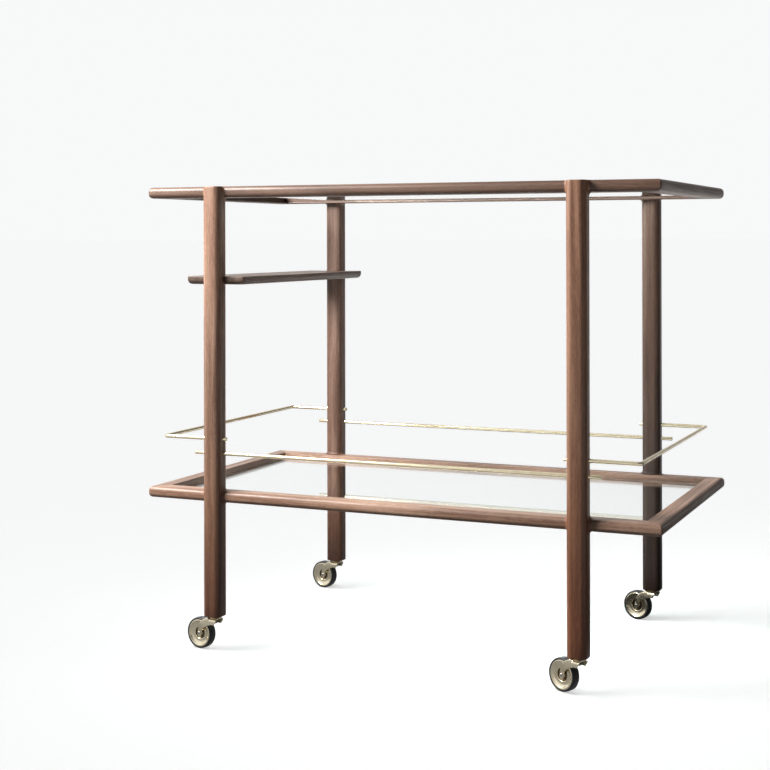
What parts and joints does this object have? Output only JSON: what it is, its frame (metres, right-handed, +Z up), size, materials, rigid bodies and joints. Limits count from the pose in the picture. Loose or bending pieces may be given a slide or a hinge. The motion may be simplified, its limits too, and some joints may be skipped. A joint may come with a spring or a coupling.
{
  "type": "bar cart",
  "caption": "Walnut bar cart on swivel casters, with glass shelves in mitred frames, a small side shelf under an open bottle well, and brass guard rods.",
  "frame": {"origin": "on the floor under the middle of the cart, midway between the legs both ways", "axes": "+X to the right along the cart as seen from its front, the side shelf being at -X; +Y to the back; +Z up"},
  "size_m": [0.869, 0.5007, 0.762],
  "materials": {
    "walnut_leg": "oiled, satin, grain along the leg",
    "walnut_rail": "oiled, satin, grain along the rail",
    "beech": "plain dowel",
    "brass": "bright pressed brass",
    "brass_rod": "polished rod",
    "steel": "plain",
    "nylon": "natural",
    "rubber": "smooth black rubber",
    "glass": "clear, eased edges"
  },
  "bodies": {
    "root": {"front_left_leg": "walnut_leg", "front_right_leg": "walnut_leg", "rear_right_leg": "walnut_leg", "rear_left_leg": "walnut_leg", "top_front_rail": "walnut_rail", "top_rear_rail": "walnut_rail", "top_left_rail": "walnut_rail", "top_right_rail": "walnut_rail", "lower_front_rail": "walnut_rail", "lower_rear_rail": "walnut_rail", "lower_left_rail": "walnut_rail", "lower_right_rail": "walnut_rail", "side_shelf": "walnut_rail", "top_glass": "glass", "lower_glass": "glass", "front_rod": "brass_rod", "rear_rod": "brass_rod", "left_end_rod": "brass_rod", "right_end_rod": "brass_rod", "top_front_left_dowel": "beech", "lower_front_left_dowel": "beech", "top_front_right_dowel": "beech", "lower_front_right_dowel": "beech", "top_rear_right_dowel": "beech", "lower_rear_right_dowel": "beech", "top_rear_left_dowel": "beech", "lower_rear_left_dowel": "beech", "shelf_front_left_dowel": "beech", "shelf_rear_left_dowel": "beech", "front_left_socket": "brass", "front_right_socket": "brass", "rear_right_socket": "brass", "rear_left_socket": "brass"},
    "front_left_caster": {"front_left_fork": "brass", "front_left_stem": "steel", "front_left_swivel_washer": "nylon", "front_left_axle": "steel"},
    "front_left_wheel": {"front_left_hub": "brass", "front_left_tyre": "rubber"},
    "front_right_caster": {"front_right_fork": "brass", "front_right_stem": "steel", "front_right_swivel_washer": "nylon", "front_right_axle": "steel"},
    "front_right_wheel": {"front_right_hub": "brass", "front_right_tyre": "rubber"},
    "rear_right_caster": {"rear_right_fork": "brass", "rear_right_stem": "steel", "rear_right_swivel_washer": "nylon", "rear_right_axle": "steel"},
    "rear_right_wheel": {"rear_right_hub": "brass", "rear_right_tyre": "rubber"},
    "rear_left_caster": {"rear_left_fork": "brass", "rear_left_stem": "steel", "rear_left_swivel_washer": "nylon", "rear_left_axle": "steel"},
    "rear_left_wheel": {"rear_left_hub": "brass", "rear_left_tyre": "rubber"}
  },
  "joints": [
    {"name": "front_left_swivel", "type": "hinge", "parent": "root", "child": "front_left_caster", "pos_m": [-0.3085, -0.2318, 0.0572], "axis": [0, 0, 1], "continuous": true},
    {"name": "front_left_roll", "type": "hinge", "parent": "front_left_caster", "child": "front_left_wheel", "pos_m": [-0.33721, -0.22648, 0.0254], "axis": [0.1822, 0.9833, 0], "continuous": true},
    {"name": "front_right_swivel", "type": "hinge", "parent": "root", "child": "front_right_caster", "pos_m": [0.3085, -0.2318, 0.0572], "axis": [0, 0, 1], "continuous": true},
    {"name": "front_right_roll", "type": "hinge", "parent": "front_right_caster", "child": "front_right_wheel", "pos_m": [0.28226, -0.219, 0.0254], "axis": [0.4384, 0.8988, 0], "continuous": true},
    {"name": "rear_right_swivel", "type": "hinge", "parent": "root", "child": "rear_right_caster", "pos_m": [0.3085, 0.2318, 0.0572], "axis": [0, 0, 1], "continuous": true},
    {"name": "rear_right_roll", "type": "hinge", "parent": "rear_right_caster", "child": "rear_right_wheel", "pos_m": [0.28043, 0.23985, 0.0254], "axis": [0.2756, 0.9613, 0], "continuous": true},
    {"name": "rear_left_swivel", "type": "hinge", "parent": "root", "child": "rear_left_caster", "pos_m": [-0.3085, 0.2318, 0.0572], "axis": [0, 0, 1], "continuous": true},
    {"name": "rear_left_roll", "type": "hinge", "parent": "rear_left_caster", "child": "rear_left_wheel", "pos_m": [-0.33695, 0.23837, 0.0254], "axis": [0.225, 0.9744, 0], "continuous": true}
  ]
}
